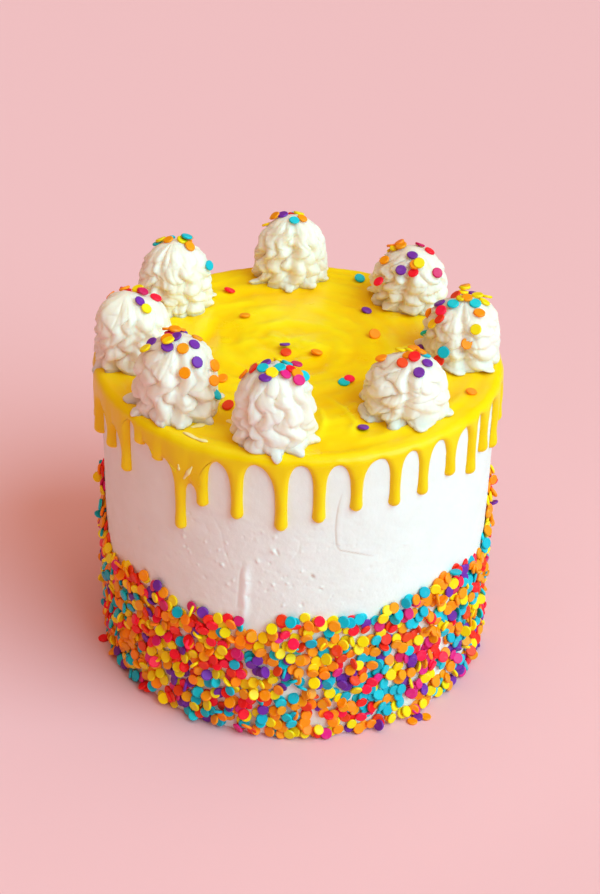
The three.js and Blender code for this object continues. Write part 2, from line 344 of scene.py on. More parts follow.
def wall_grid():
    """Every point of the wall, and how much painted shade and painted highlight each has."""
    parts = [np.arange(low, high, step / CAKE_RADIUS * 180 / math.pi) for low, high, step in WALL_COLUMNS]
    angles = np.concatenate(parts)
    heights = np.concatenate([np.arange(*rows) for rows in WALL_ROWS])[:, None]
    angle = angles[None, :] + 0 * heights
    height = heights + 0 * angle
    across = np.radians(angle) * CAKE_RADIUS
    points = around(angle, CAKE_RADIUS, height)
    relief = relief_over(points, WALL_LUMPS)
    groove_shade = 0 * height
    smear_highlight = 0 * height
    for name, (path, width, rise) in WALL_MARKS.items():
        placed = [(math.radians(a) * CAKE_RADIUS, h) for a, h in path]
        shape = mark_shape(across, height, placed, width)
        relief += rise * shape
        # The sunk marks get painted shade and the smear gets a painted highlight.
        if name in GROOVE_SHADE_MARKS:
            groove_shade = np.maximum(groove_shade, GROOVE_SHADE_MARKS[name] * shape)
        if name in HIGHLIGHT_MARKS:
            smear_highlight = np.maximum(smear_highlight, HIGHLIGHT_MARKS[name] * shape)
    chance = np.random.default_rng(31)
    for _ in range(SPECKS):
        start = (chance.normal(*SPECK_ANGLES), chance.uniform(*SPECK_HEIGHTS))
        end = (start[0] + chance.uniform(-0.8, 0.8), start[1] + chance.uniform(-1, 0.2))
        placed = [(math.radians(a) * CAKE_RADIUS, h) for a, h in (start, end)]
        relief += chance.uniform(-1, 1) * SPECK_RISE * mark_shape(across, height, placed, SPECK_WIDTH)
    points = around(angle, wall_radius(angle, height) + relief, height)
    corner = [around(angles, wall_radius(angles, CAKE_TOP) - CORNER_RADIUS * (1 - math.sin(turn)),
                     CAKE_TOP - CORNER_RADIUS * (1 - math.cos(turn)))
              for turn in np.radians(CORNER_TURNS)]
    foot = [around(angles, wall_radius(angles, 0) - 1, 0), around(angles, wall_radius(angles, 0) - 0.3, 0.3)]
    rows = np.concatenate([np.array(foot), points, np.array(corner)])
    ends = [np.zeros((len(foot), len(angles))), np.zeros((len(corner), len(angles)))]
    shades = {"groove_shade": groove_shade, "smear_highlight": smear_highlight}
    return rows, {name: np.concatenate([ends[0], values, ends[1]]) for name, values in shades.items()}


def cake():
    """The coated cake, closed by a flat foot and, under the glaze, a flat top."""
    rows, shades = wall_grid()
    count, columns = rows.shape[:2]
    points = np.concatenate([rows.reshape(-1, 3), [[0, 0, 0], [0, 0, CAKE_TOP]]])
    last = count * columns
    faces = grid_faces(count, columns)
    faces += fan_faces(list(range(columns)), last, False)
    faces += fan_faces(list(range(last - columns, last)), last + 1, True)
    piece = mesh_piece("buttercream_wall", points, faces, cream_material())
    for name, values in shades.items():
        add_attribute(piece.data, name, np.concatenate([values.ravel(), [0, 0]]))
    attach(piece, "root")
    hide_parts("buttercream_cake")


cake()


# The drip glaze: warm yellow ganache, poured over the chilled cake and spread with a spatula. It
# rolls over the rim and runs down the wall in round-tipped drips, with arches of bare wall between.
GLAZE_TOP = 136.75
GLAZE_THICKNESS = GLAZE_TOP - CAKE_TOP
# How thick the glaze is on the wall, down the middle of a drip and in its tip, and a drip's half width.
SHEET_THICKNESS = 1.7
BEAD_THICKNESS = 2.1
BULB_THICKNESS = 2.6
BEAD_HALF = 2.55
# More glaze ran over the rim's left side, and lies thicker for so many degrees to both sides.
LEFT_BEARING = -84
LEFT_SPREAD = 24
LEFT_EXTRA = 1.5
# How deep the glaze's back lies in the cake, and how close points are one point, in metres.
SUNK = 0.25
WELD_DISTANCE = 0.00002
DRIP_COLUMNS = 16
# The drips, as [angle, length below the glaze's top].
DRIPS = [
    (-78, 31), (-64, 26), (-55, 30), (-48, 12), (-41, 15), (-33, 42), (-26, 28), (-16, 30), (-4, 33),
    (6, 29), (16, 25), (27, 26), (36, 25), (46, 22), (56, 28), (63, 23), (74, 30), (82, 24), (92, 27),
    (103, 34), (112, 21), (122, 29), (133, 24), (142, 37), (152, 26), (163, 31), (172, 20), (181, 28),
    (192, 33), (201, 23), (211, 30), (222, 26), (231, 38), (242, 22), (252, 29), (262, 25), (272, 33),
]
# The arches between them, from the one after the first drip, as [angle, depth below the top].
SEEN_ARCHES = [
    (-71, 10), (-61, 13.4), (-52, 4.2), (-45.6, 10.2), (-38.4, 12.7), (-29.6, 19.5), (-21.6, 6.2),
    (-11.2, 4.4), (1.0, 3.0), (10.8, 3.4), (22.2, 2.7), (31.7, 2.7), (41.1, 2.5), (51.6, 3.4),
    (59.4, 2.6), (69, 3.4), (78, 3.4),
]
# How far an arch out of sight leans to one side, as a share of its width, and how deep it may be.
ARCH_LEAN = 0.12
HIDDEN_ARCH_DEPTHS = (3, 8.5)
# How far the glaze runs over the rim's curve.
CORNER_RUN = 5.6
RIM_DEPTH = CORNER_RADIUS + GLAZE_THICKNESS
RIM_START = CAKE_RADIUS - CORNER_RADIUS
# A drip's half width as a share of its room, how much it thins midway and how much wider its tip is.
DRIP_SHARE = 0.8
DRIP_NECK = 0.07
TIP_SWELL = 0.05
# The lumps of the glaze where it ran, of the swept rings on top and of the whole top, each as
# [rise, size, stretch, seed].
POURED_LUMPS = [(0.3, 8, (1, 1, 1.6), 11), (0.14, 3.5, (1, 1, 1.6), 12)]
SWEPT_LUMPS = [(0.75, 1, (1, 1, 1), 4), (0.35, 0.42, (1, 1, 1), 8)]
TOP_LUMPS = [(0.7, 17, (1, 1, 1), 5), (0.2, 4.5, (1, 1, 1), 6)]
# The middle of the spatula's round sweep over the top, and how far apart its rings are.
SWEEP_MIDDLE = (-5, 6)
SWEEP_WIDTH = 6.5
# The glaze's own yellow, the painted shade in the low spots of the top, and the pale yellow of its random
# streaks, which is also the painted highlight on the top's raised spots.
GLAZE_YELLOW = (255, 208, 0)
GLAZE_PAINTED_SHADE = (252, 192, 0)
GLAZE_PALE_AND_HIGHLIGHT = (255, 226, 25)


def arches():
    """The arch after each drip. Those out of the photograph's sight are of the same kind."""
    chance = np.random.default_rng(7)
    ring = SEEN_ARCHES[:]
    angles = [angle for angle, _ in DRIPS] + [DRIPS[0][0] + 360]
    for angle, following in zip(angles[len(ring):], angles[len(ring) + 1:]):
        lean = chance.uniform(-ARCH_LEAN, ARCH_LEAN) * (following - angle)
        ring.append(((angle + following) / 2 + lean, chance.uniform(*HIDDEN_ARCH_DEPTHS)))
    return ring


def run_of_depth(depth):
    """How far the glaze has run from the start of the rim's curve when it is that deep."""
    if depth < RIM_DEPTH:
        return CORNER_RUN * 2 / math.pi * math.acos(1 - depth / RIM_DEPTH)
    return CORNER_RUN + depth - RIM_DEPTH


def outline_side(spread, arch_run, end_run):
    """One side of a drip from the arch's top to the drip's tip, as [half width, run]."""
    drop = end_run - arch_run
    half = min(BEAD_HALF, DRIP_SHARE * spread)
    tip = min(BEAD_HALF, 0.45 * drop)
    bend = min(max(2.2 * (spread - half), 3), 0.5 * drop)
    turns = np.linspace(0, math.pi / 2, 11)
    halves = spread - (spread - half) * np.sin(turns)
    runs = arch_run + bend * (1 - np.cos(turns))
    share = np.linspace(0, 1, 15)[1:]
    straight = runs[-1] + (end_run - tip - runs[-1]) * share
    swell = 1 - DRIP_NECK * np.sin(math.pi * share) + TIP_SWELL * share**3
    tips = np.linspace(0, math.pi / 2, 9)[1:]
    halves = np.concatenate([halves, half * swell, half * (1 + TIP_SWELL) * np.cos(tips)])
    runs = np.concatenate([runs, straight, end_run - tip + tip * np.sin(tips)])
    return halves, runs


def eased(share):
    """From 0 to 1 with level ends, so that rows of points meet a drip's edge squarely."""
    return share**3 * (share * (share * 6 - 15) + 10)


def drip_sector(angle, length, before, after):
    """The glaze between two arches: how far each point is across, along and in from the outline, and
    how far aside of the drip, from 0 at its middle to 1 where the next drip takes over."""
    end_run = run_of_depth(length)
    to_mm = math.radians(1) * CAKE_RADIUS
    left, right = (angle - before[0]) * to_mm, (after[0] - angle) * to_mm
    left_half, left_run = outline_side(left, run_of_depth(before[1]), end_run)
    right_half, right_run = outline_side(right, run_of_depth(after[1]), end_run)
    lean = np.sin(np.linspace(-math.pi / 2, math.pi / 2, DRIP_COLUMNS + 1))
    aside = np.abs(lean)
    mix = eased((lean + 1) / 2)
    top_rows = np.linspace(0, 1, 11)[:-1, None]
    arch_line = left_run[0] + (right_run[0] - left_run[0]) * mix
    top_across = np.where(lean < 0, lean * left, lean * right) + 0 * top_rows
    top_run = top_rows * arch_line
    low_across = np.where(lean < 0, lean * left_half[:, None], lean * right_half[:, None])
    low_run = left_run[:, None] + (right_run - left_run)[:, None] * mix
    across = np.concatenate([top_across, low_across])
    run = np.concatenate([top_run, low_run])
    left_edge = np.stack([-left_half, left_run], -1)
    right_edge = np.stack([right_half, right_run], -1)[::-1]
    distance, _ = reach_of_path(across, run, np.concatenate([left_edge, right_edge]))
    return across, run, distance, aside


def rim_point(angle, run, out):
    """A point over the rim's curve or on the wall, where out is its distance from the cake."""
    turn = np.clip(run / CORNER_RUN, 0, 1) * math.pi / 2
    radius = RIM_START + (CORNER_RADIUS + out) * np.sin(turn)
    height = CAKE_TOP - CORNER_RADIUS + (CORNER_RADIUS + out) * np.cos(turn)
    height = height - np.maximum(run - CORNER_RUN, 0)
    return around(angle, radius, height)


def glaze_out(angle, across, run, distance, aside, end_run):
    """The glaze's thickness: a rounded edge, a raised bead down each drip and a fuller tip."""
    edge = np.sqrt(1 - (1 - np.clip(distance / BEAD_HALF, 0, 1)) ** 2)
    bead = np.exp(-0.5 * (across / BEAD_HALF) ** 2) * smooth_step(run, CORNER_RUN - 1, CORNER_RUN + 5)
    bead = bead * (1 - smooth_step(aside, 0.6, 1))
    bulb = smooth_step(run, end_run - 9, end_run - 2.5)
    side = SHEET_THICKNESS + (BEAD_THICKNESS - SHEET_THICKNESS) * bead
    side = side + (BULB_THICKNESS - BEAD_THICKNESS) * bead * bulb
    turn = np.clip(run / CORNER_RUN, 0, 1) * math.pi / 2
    from_left = (angle - LEFT_BEARING + 180) % 360 - 180
    pooled = LEFT_EXTRA * np.exp(-((from_left / LEFT_SPREAD) ** 2)) * np.sin(turn)
    full = GLAZE_THICKNESS + (side - GLAZE_THICKNESS) * np.sin(turn) + pooled
    return (full + relief_over(rim_point(angle, run, 0), POURED_LUMPS)) * edge


# The spatula's strokes in the glaze on top, each a path of [x, y], its width and its rise, and how
# much higher they all stand.
STROKE_LIFT = 1.5
STROKES = [
    ([(30, 22), (36, 12), (38, 0), (34, -12), (26, -20)], 1.6, 0.35),
    ([(12, -38), (18, -46), (22, -56), (20, -66)], 1.4, 0.5),
    ([(20, -40), (27, -48), (33, -52), (43, -50)], 1.4, 0.4),
    ([(8, -46), (10, -56), (8, -66)], 1.3, 0.4),
    ([(-20, 20), (-6, 26), (8, 24), (18, 16)], 2.0, 0.3),
    ([(-30, 2), (-18, 10), (-4, 10), (10, 4)], 2.0, 0.3),
    ([(-25, -30), (-10, -26), (6, -30)], 1.8, 0.3),
    ([(46, -18), (50, -30), (48, -44)], 1.4, 0.35),
    ([(-46, 30), (-36, 40), (-22, 44)], 1.8, 0.3),
    ([(-60, -8), (-52, -18), (-46, -30)], 1.6, 0.3),
    ([(-52, -58), (-40, -66), (-26, -72)], 1.5, -0.35),
]


def top_relief(x, y):
    """How far the spread top stands above or below level, in millimetres."""
    radius = np.hypot(x, y)
    swept_x, swept_y = x - SWEEP_MIDDLE[0], y - SWEEP_MIDDLE[1]
    turn = np.arctan2(swept_y, swept_x)
    ring = np.hypot(swept_x, swept_y) / SWEEP_WIDTH
    rings = np.stack([ring, 1.3 * np.cos(turn), 1.3 * np.sin(turn)], -1)
    level = np.stack([x, y, 0 * x + CAKE_TOP], -1)
    relief = relief_over(rings, SWEPT_LUMPS) + relief_over(level, TOP_LUMPS)
    for path, width, rise in STROKES:
        relief += STROKE_LIFT * rise * mark_shape(x, y, path, width)
    at_rim = smooth_step(radius, RIM_START - 6, RIM_START)
    return relief * (1 - at_rim) + relief_over(level, POURED_LUMPS) * at_rim


def glaze_material():
    material, tree, shader = new_material("yellow_glaze", colour(*GLAZE_YELLOW), 0.3)
    grain = place_grain(tree, 420, 55)
    depth = add_node(tree, "ShaderNodeAttribute", {"attribute_name": "depth"}).outputs["Fac"]
    # Painted shade where the top lies low and a painted highlight where it stands high; the random streaks
    # are the glaze's own paler tone.
    shaded_low = mixed_colour(tree, between(tree, depth, -0.7, 0), colour(*GLAZE_PAINTED_SHADE), colour(*GLAZE_YELLOW))
    lit_high = mixed_colour(tree, between(tree, depth, 0, 1.1), shaded_low, colour(*GLAZE_PALE_AND_HIGHLIGHT))
    streaked = mixed_colour(tree, between(tree, grain.outputs["Mottle"], 0.4, 0.72, 0, 0.35),
                            lit_high, colour(*GLAZE_PALE_AND_HIGHLIGHT))
    tree.links.new(streaked, shader.inputs["Base Color"])
    roughen(tree, shader, grain, 0.25, 0.0006)
    tree.links.new(between(tree, grain.outputs["Mottle"], 0.3, 0.7, 0.26, 0.42), shader.inputs["Roughness"])
    shader.inputs["Subsurface Weight"].default_value = 0.2
    shader.inputs["Subsurface Radius"].default_value = (0.003, 0.0018, 0.0004)
    shader.inputs["Specular IOR Level"].default_value = 0.22
    return material


def glaze():
    """The glaze's points and faces: its top from the middle out, each drip, and its back."""
    ring = arches()
    sectors = [drip_sector(*drip, ring[i - 1] if i else (ring[-1][0] - 360, ring[-1][1]), ring[i])
               for i, drip in enumerate(DRIPS)]
    angles = []
    blocks = []
    for (angle, length), (across, run, distance, aside) in zip(DRIPS, sectors):
        to_degrees = 180 / math.pi / CAKE_RADIUS
        block_angles = angle + across * to_degrees
        out = glaze_out(block_angles, across, run, distance, aside, run_of_depth(length))
        blocks.append((rim_point(block_angles, run, out), block_angles, run))
        angles.append(block_angles[0, :-1])
    angles = np.concatenate(angles)
    inner = np.linspace(3, RIM_START - 9, 44)
    outer = np.linspace(RIM_START - 8, RIM_START, 8)[:-1]
    radii = np.concatenate([inner, outer])
    top = around(angles[None, :], radii[:, None], GLAZE_TOP)
    top[..., 2] += top_relief(top[..., 0], top[..., 1])
    points = [np.array([[0, 0, GLAZE_TOP + top_relief(np.zeros(1), np.zeros(1))[0]]]), top.reshape(-1, 3)]
    columns = len(angles)
    faces = fan_faces(list(range(1, columns + 1)), 0, True)
    faces += [f[::-1] for f in grid_faces(len(radii), columns, 1)]
    count = 1 + top.shape[0] * columns
    outer_ring = list(range(count - columns, count))
    back_ring = []
    for place, (shown, block_angles, run) in enumerate(blocks):
        rows, wide = run.shape
        points.append(shown.reshape(-1, 3))
        faces += [f[::-1] for f in grid_faces(rows, wide, count, False)]
        above = [outer_ring[(place * DRIP_COLUMNS + i) % columns] for i in range(wide)]
        faces += [(above[i], count + i, count + i + 1, above[i + 1]) for i in range(wide - 1)]
        backed = rim_point(block_angles[:, [0, -1]], run[:, [0, -1]], -SUNK)
        points.append(backed.reshape(-1, 3))
        back = count + rows * wide
        faces += grid_faces(rows, 2, back, False)
        arch_row = next(i for i in range(rows) if run[i, 0] == run[i:, 0].min() and i >= 10)
        for row in range(arch_row, rows - 1):
            left = (count + row * wide, count + (row + 1) * wide, back + 2 * row + 2, back + 2 * row)
            right = (count + row * wide + wide - 1, back + 2 * row + 1, back + 2 * row + 3,
                     count + (row + 1) * wide + wide - 1)
            faces += [left, right]
        back_ring += [back, back + 1]
        count = back + 2 * rows
    points.append(np.array([[0, 0, CAKE_TOP - SUNK]]))
    faces += fan_faces(back_ring, count, False)
    return np.concatenate(points), faces


glaze_points, glaze_faces = glaze()
glaze_piece = mesh_piece("drip_glaze", glaze_points, glaze_faces, glaze_material())
# How high or low each point of the top stands, which drives the glaze's painted shade and painted highlight.
on_top = np.hypot(glaze_points[:, 0], glaze_points[:, 1]) < RIM_START
add_attribute(glaze_piece.data, "depth", np.where(on_top, glaze_points[:, 2] - GLAZE_TOP, 0))


def weld(piece, distance):
    """Joins points closer than a distance in metres, and turns the faces outwards."""
    work = bmesh.new()
    work.from_mesh(piece.data)
    bmesh.ops.remove_doubles(work, verts=work.verts, dist=distance)
    bmesh.ops.recalc_face_normals(work, faces=work.faces)
    work.to_mesh(piece.data)
    work.free()


weld(glaze_piece, WELD_DISTANCE)
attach(glaze_piece, "root")
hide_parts("yellow_drip_glaze")


# The piped swirls: stiff white buttercream pressed through a large star nozzle, up and down as it
# was lifted. Each is a dome of ridges folded into ruffles, parted by a deep crease, that spreads in
# toes at the foot and sticks to the glaze.
# How deep a swirl's foot is pressed into the glaze.
SWIRL_SUNK = 0.6
# What every swirl has, apart from what its own line says: how deep its grooves and ruffles are, how
# far its ridges swing aside, how long its toes and how deep its crease are, and how many folds a
# ridge has at least.
SWIRL_HABIT = {"Groove": 0.24, "Ruffle": 0.2, "Zigzag": 0.32, "Toes": 0.3, "Parting": 0.17, "Folds": 4.6}
# Each swirl's angle on the cake and distance from its axis, its sizes, how many ridges it has and how
# far they twist, in degrees. Its crease is a bearing from the swirl's own middle.
SWIRLS = {
    "back": dict(angle=-176, ring=70, Width=34, Depth=28.5, Height=30.5, Ridges=11, Twist=20, Seed=3,
                 crease=-8),
    "back_left": dict(angle=-127, ring=68.5, Width=35, Depth=32, Height=30, Ridges=11, Twist=-16, Seed=5,
                      crease=-14),
    "left": dict(angle=-83, ring=70, Width=32, Depth=34, Height=30, Ridges=11, Twist=24, Seed=8,
                 crease=2, Toes=0.14),
    "front_left": dict(angle=-45, ring=67, Width=34, Depth=34, Height=32, Ridges=10, Twist=14, Seed=11,
                       crease=-2, Toes=0.4, Folds=3.6),
    "front": dict(angle=-8, ring=69, Width=32.5, Depth=31, Height=33, Ridges=10, Twist=-22, Seed=14,
                  crease=-34, Toes=0.36, Folds=3.4),
    "front_right": dict(angle=44, ring=61, Width=34.5, Depth=34, Height=24.5, Ridges=8, Twist=12, Seed=17,
                        crease=-12, Toes=0.34, Folds=2.6),
    "right": dict(angle=91, ring=66.5, Width=35.5, Depth=35, Height=27, Ridges=10, Twist=-18, Seed=20,
                  crease=4, Toes=0.18),
    "back_right": dict(angle=136, ring=68.5, Width=35.5, Depth=32, Height=26, Ridges=11, Twist=26, Seed=23,
                       crease=-30),
}
# A swirl's outline, as [share of its height, share of its half width].
SWIRL_PROFILE = [(0, 0.9), (0.08, 0.98), (0.26, 0.97), (0.46, 0.95), (0.66, 0.87), (0.83, 0.67),
                 (0.94, 0.4), (1, 0)]
# How many points of the mesh go round a swirl, and up it.
SWIRL_AROUND = 216
SWIRL_UP = 110
# The bearing of the side on which the ruffles lie calmest, how lively they are on the average and
# how much that changes round the swirl.
CALM_BEARING = 65
LIVELY = 0.85
LIVELY_CHANGE = 0.25
# How often a ridge swings aside on its way up, and how narrow the crease is.
SWINGS_UP = 3.1
CREASE_SHARPNESS = 2200
# A toe's middle above the foot, and how near to its ridge's crest it begins, where the crest is 1.
TOE_HEIGHT = 1.4
TOE_CREST = 0.88
# How much of its reach past the rim's curve a swirl keeps.
OVERHANG = 0.6
PIPED_WHITE = (246, 234, 222)
PIPED_SHADE = (244, 230, 214)


class Field:
    """A number that varies over a mesh in Geometry Nodes, so that sums are written as sums."""

    def __init__(self, tree, socket):
        self.tree = tree
        self.socket = socket

    def math(self, operation, *others):
        """The field that one Math node makes of this one and the others."""
        node = self.tree.nodes.new("ShaderNodeMath")
        node.operation = operation
        for place, value in enumerate((self, *others)):
            if isinstance(value, Field):
                self.tree.links.new(value.socket, node.inputs[place])
            else:
                node.inputs[place].default_value = value
        return Field(self.tree, node.outputs[0])

    def __add__(self, other):
        return self.math("ADD", other)

    def __sub__(self, other):
        return self.math("SUBTRACT", other)

    def __mul__(self, other):
        return self.math("MULTIPLY", other)

    def __truediv__(self, other):
        return self.math("DIVIDE", other)

    def __pow__(self, other):
        return self.math("POWER", other)

    def sine(self):
        return self.math("SINE")

    def cosine(self):
        return self.math("COSINE")

    def size(self):
        return self.math("ABSOLUTE")

    def least(self, other):
        """The field, but at least as large as the other value."""
        return self.math("MAXIMUM", other)

    def most(self, other):
        """The field, but at most as large as the other value."""
        return self.math("MINIMUM", other)

    def chance(self, seed, salt):
        """A number from 0 to 1 that only depends on this whole number, the seed and the salt."""
        mixed = (self * 12.9898 + seed * 78.233 + salt * 3.71).sine() * 4375.85
        return mixed.math("FRACT")


def node_tree_with(name, inputs):
    """A new Geometry Nodes tree, with its named inputs as fields and their identifiers."""
    tree = bpy.data.node_groups.new(name, "GeometryNodeTree")
    tree.interface.new_socket("Geometry", in_out="INPUT", socket_type="NodeSocketGeometry")
    sockets = {key: tree.interface.new_socket(key, in_out="INPUT", socket_type="NodeSocketFloat")
               for key in inputs}
    tree.interface.new_socket("Geometry", in_out="OUTPUT", socket_type="NodeSocketGeometry")
    taken = tree.nodes.new("NodeGroupInput")
    fields = {key: Field(tree, taken.outputs[key]) for key in inputs}
    return tree, taken, fields, {key: socket.identifier for key, socket in sockets.items()}


def combined(tree, x, y, z):
    """A vector from three fields."""
    node = tree.nodes.new("ShaderNodeCombineXYZ")
    for socket, field in zip(node.inputs, (x, y, z)):
        tree.links.new(field.socket, socket)
    return node.outputs[0]


def swirl_tree(material):
    """A swirl in millimetres, standing at the origin with its front towards -Y."""
    names = ["Width", "Depth", "Height", "Ridges", "Twist", "Seed", "Groove", "Ruffle", "Zigzag", "Toes",
             "Crease", "Parting", "Calm", "Folds"]
    tree, _, given, identifiers = node_tree_with("piped_swirl", names)
    grid = add_node(tree, "GeometryNodeMeshGrid", Vertices_X=SWIRL_AROUND + 1, Vertices_Y=SWIRL_UP)
    grid.inputs["Size X"].default_value = 1
    grid.inputs["Size Y"].default_value = 1
    position = add_node(tree, "GeometryNodeInputPosition").outputs[0]
    parts = add_node(tree, "ShaderNodeSeparateXYZ", Vector=position)
    first_row = 1 / (SWIRL_UP - 1)
    share = ((Field(tree, parts.outputs["Y"]) + 0.5 - first_row) / (1 - first_row)).least(0)
    inside = (Field(tree, parts.outputs["Y"]) + 0.5).math("GREATER_THAN", first_row / 2)
    turns = Field(tree, parts.outputs["X"]) + 0.5
    full_turn = turns * (2 * math.pi)
    seed = given["Seed"]

    def rough(fineness, salt, climb=1.7):
        """Noise from about -1 to 1 over the swirl, without a seam."""
        place = combined(tree, full_turn.sine(), full_turn.cosine(), share * climb)
        texture = add_node(tree, "ShaderNodeTexNoise", {"noise_dimensions": "4D"}, Vector=place,
                           Scale=fineness, Detail=1, W=(seed * 3.17 + salt).socket)
        return (Field(tree, texture.outputs["Fac"]) - 0.5) * 3.2

    risen = (share * 4).most(1)
    lively = ((turns - given["Calm"]) * (2 * math.pi)).cosine() * -LIVELY_CHANGE + LIVELY
    swing = ((share * SWINGS_UP + rough(0.7, 2) * 0.35) * 2 * math.pi).sine()
    zigzag = swing * given["Zigzag"] * risen * lively
    along = turns * given["Ridges"] + rough(1.2, 1) * 0.4 + zigzag
    ridge = along.math("FLOOR").math("FLOORED_MODULO", given["Ridges"])
    crest = (along * math.pi).sine().size() ** 0.7

    profile = tree.nodes.new("ShaderNodeFloatCurve")
    curve = profile.mapping.curves[0]
    for place, point in enumerate(SWIRL_PROFILE):
        if place in (0, len(SWIRL_PROFILE) - 1):
            curve.points[0 if place == 0 else -1].location = point
        else:
            curve.points.new(*point)
    profile.mapping.update()
    tree.links.new(share.socket, profile.inputs["Value"])
    body = Field(tree, profile.outputs[0])

    climbed = share + rough(1.5, 3) * 0.07
    bumps = ridge.chance(seed, 1) * 1.6 + given["Folds"]
    wave = ((climbed * bumps + ridge.chance(seed, 2)) * math.pi).sine().size() ** 0.8
    fading = (share * -1 + 1) ** 0.4
    depth_of_groove = (rough(1.1, 5) * 0.9 + 0.75).least(0.12) * given["Groove"] * (lively * 0.5 + 0.5)
    groove = depth_of_groove * (crest * -1 + 1) * (share * -0.3 + 1)
    depth_of_ruffle = (rough(1.0, 4) * 0.8 + 0.7).least(0.1) * given["Ruffle"] * lively
    ruffle = depth_of_ruffle * (wave - 0.6) * crest * fading
    uneven = (ridge.chance(seed, 3) - 0.5) * 0.12 * crest
    fold = rough(4.2, 6, 0.9) * 0.035 * crest * lively + rough(9, 8, 2.4) * 0.008
    creased = (rough(1.8, 9, 1.1).size() * -6 + 1).least(0) ** 1.5 * 0.04
    beside = (turns - given["Crease"] + rough(1.4, 10) * 0.012 + 0.5).math("FLOORED_MODULO", 1) - 0.5
    parting = (beside * beside * -CREASE_SHARPNESS).math("EXPONENT") * given["Parting"] * (share * 5).most(1)
    above_toe = (share * given["Height"] - TOE_HEIGHT) * 0.5
    at_foot = (above_toe * above_toe * -1 + 1).least(0) ** 0.4
    toe_length = given["Toes"] * (ridge.chance(seed, 4) * 1.5 - 0.35).least(0) * lively
    toe = toe_length * at_foot * ((crest - TOE_CREST) * 8.3).least(0) ** 0.28
    reach = body * (ruffle + uneven + fold + toe - groove - creased - parting + 1) * inside

    degrees = turns * 360 + given["Twist"] * share
    turn = degrees * math.radians(1)
    x = turn.sine() * reach * given["Width"] * 0.5
    y = turn.cosine() * reach * given["Depth"] * -0.5
    droop = wave * crest * fading * 0.03 * inside
    off_top = (share * -10 + 10).most(1)
    top_lumps = rough(1.6, 7) * 0.03 * (share * 3).most(1) * off_top
    z = (share + top_lumps - droop * (share * 6).most(1)) * given["Height"] * inside
    placed = add_node(tree, "GeometryNodeSetPosition", Geometry=grid.outputs["Mesh"],
                      Position=combined(tree, x, y, z))

    lumps = add_node(tree, "ShaderNodeTexNoise", {"noise_dimensions": "4D"}, Vector=position, Scale=0.22,
                     Detail=2, W=given["Seed"].socket)
    folds = add_node(tree, "ShaderNodeTexNoise", {"noise_dimensions": "4D"}, Vector=position, Scale=0.085,
                     Detail=1, W=given["Seed"].socket)
    swell = (Field(tree, lumps.outputs["Fac"]) - 0.5) * 1.2 + (Field(tree, folds.outputs["Fac"]) - 0.5) * 2.2
    off_foot = (share * 12).most(1)
    normal = add_node(tree, "GeometryNodeInputNormal").outputs[0]
    push = add_node(tree, "ShaderNodeVectorMath", {"operation": "SCALE"}, Vector=normal,
                    Scale=(swell * off_foot).socket)
    merged = add_node(tree, "GeometryNodeMergeByDistance", Geometry=placed.outputs[0], Distance=0.005)
    pushed = add_node(tree, "GeometryNodeSetPosition", Geometry=merged.outputs[0], Offset=push.outputs[0])
    smooth = add_node(tree, "GeometryNodeSetShadeSmooth", Geometry=pushed.outputs[0])
    real = add_node(tree, "GeometryNodeRealizeInstances", Geometry=smooth.outputs[0])
    covered = add_node(tree, "GeometryNodeSetMaterial", Geometry=real.outputs[0])
    covered.inputs["Material"].default_value = material
    tree.links.new(covered.outputs[0], tree.nodes.new("NodeGroupOutput").inputs[0])
    return tree, identifiers


def grown_mesh(name, tree, identifiers, values, start=None):
    """The plain mesh that a Geometry Nodes tree makes with these inputs."""
    holder = new_object(name + "_holder", start or bpy.data.meshes.new(name + "_start"))
    modifier = holder.modifiers.new("nodes", "NODES")
    modifier.node_group = tree
    for key, value in values.items():
        modifier[identifiers[key]] = float(value)
    graph = bpy.context.evaluated_depsgraph_get()
    mesh = bpy.data.meshes.new_from_object(holder.evaluated_get(graph))
    mesh.name = name
    bpy.data.objects.remove(holder)
    return mesh


def mesh_points(mesh):
    flat = np.zeros(len(mesh.vertices) * 3)
    mesh.vertices.foreach_get("co", flat)
    return flat.reshape(-1, 3)


def set_mesh_points(mesh, points):
    mesh.vertices.foreach_set("co", np.asarray(points, np.float32).ravel())
    mesh.update()


def piped_material():
    material, tree, shader = new_material("piped_buttercream", colour(*PIPED_WHITE), 0.48)
    grain = place_grain(tree, 700, 160)
    uneven = mixed_colour(tree, between(tree, grain.outputs["Mottle"], 0.35, 0.7),
                          colour(*PIPED_WHITE), colour(*PIPED_SHADE))
    tree.links.new(uneven, shader.inputs["Base Color"])
    roughen(tree, shader, grain, 0.3, 0.0004)
    shader.inputs["Subsurface Weight"].default_value = 0.7
    shader.inputs["Subsurface Scale"].default_value = 1.0
    shader.inputs["Subsurface Radius"].default_value = (0.009, 0.007, 0.005)
    return material


def draped(points, foot):
    """Cream past the start of the rim's curve keeps to the rim and sags down over it."""
    radius = np.hypot(points[:, 0], points[:, 1])
    beyond = np.maximum(radius - RIM_START, 0)
    kept = np.minimum(radius, RIM_START) + OVERHANG * beyond
    over = np.clip((kept - RIM_START) / (CORNER_RADIUS + GLAZE_THICKNESS), 0, 1)
    drop = RIM_DEPTH * (1 - np.sqrt(1 - over**2))
    low = 1 - smooth_step(points[:, 2] - foot, 1, 12)
    sagged = points.copy()
    sagged[:, :2] *= (kept / radius)[:, None]
    sagged[:, 2] -= drop * low
    return sagged


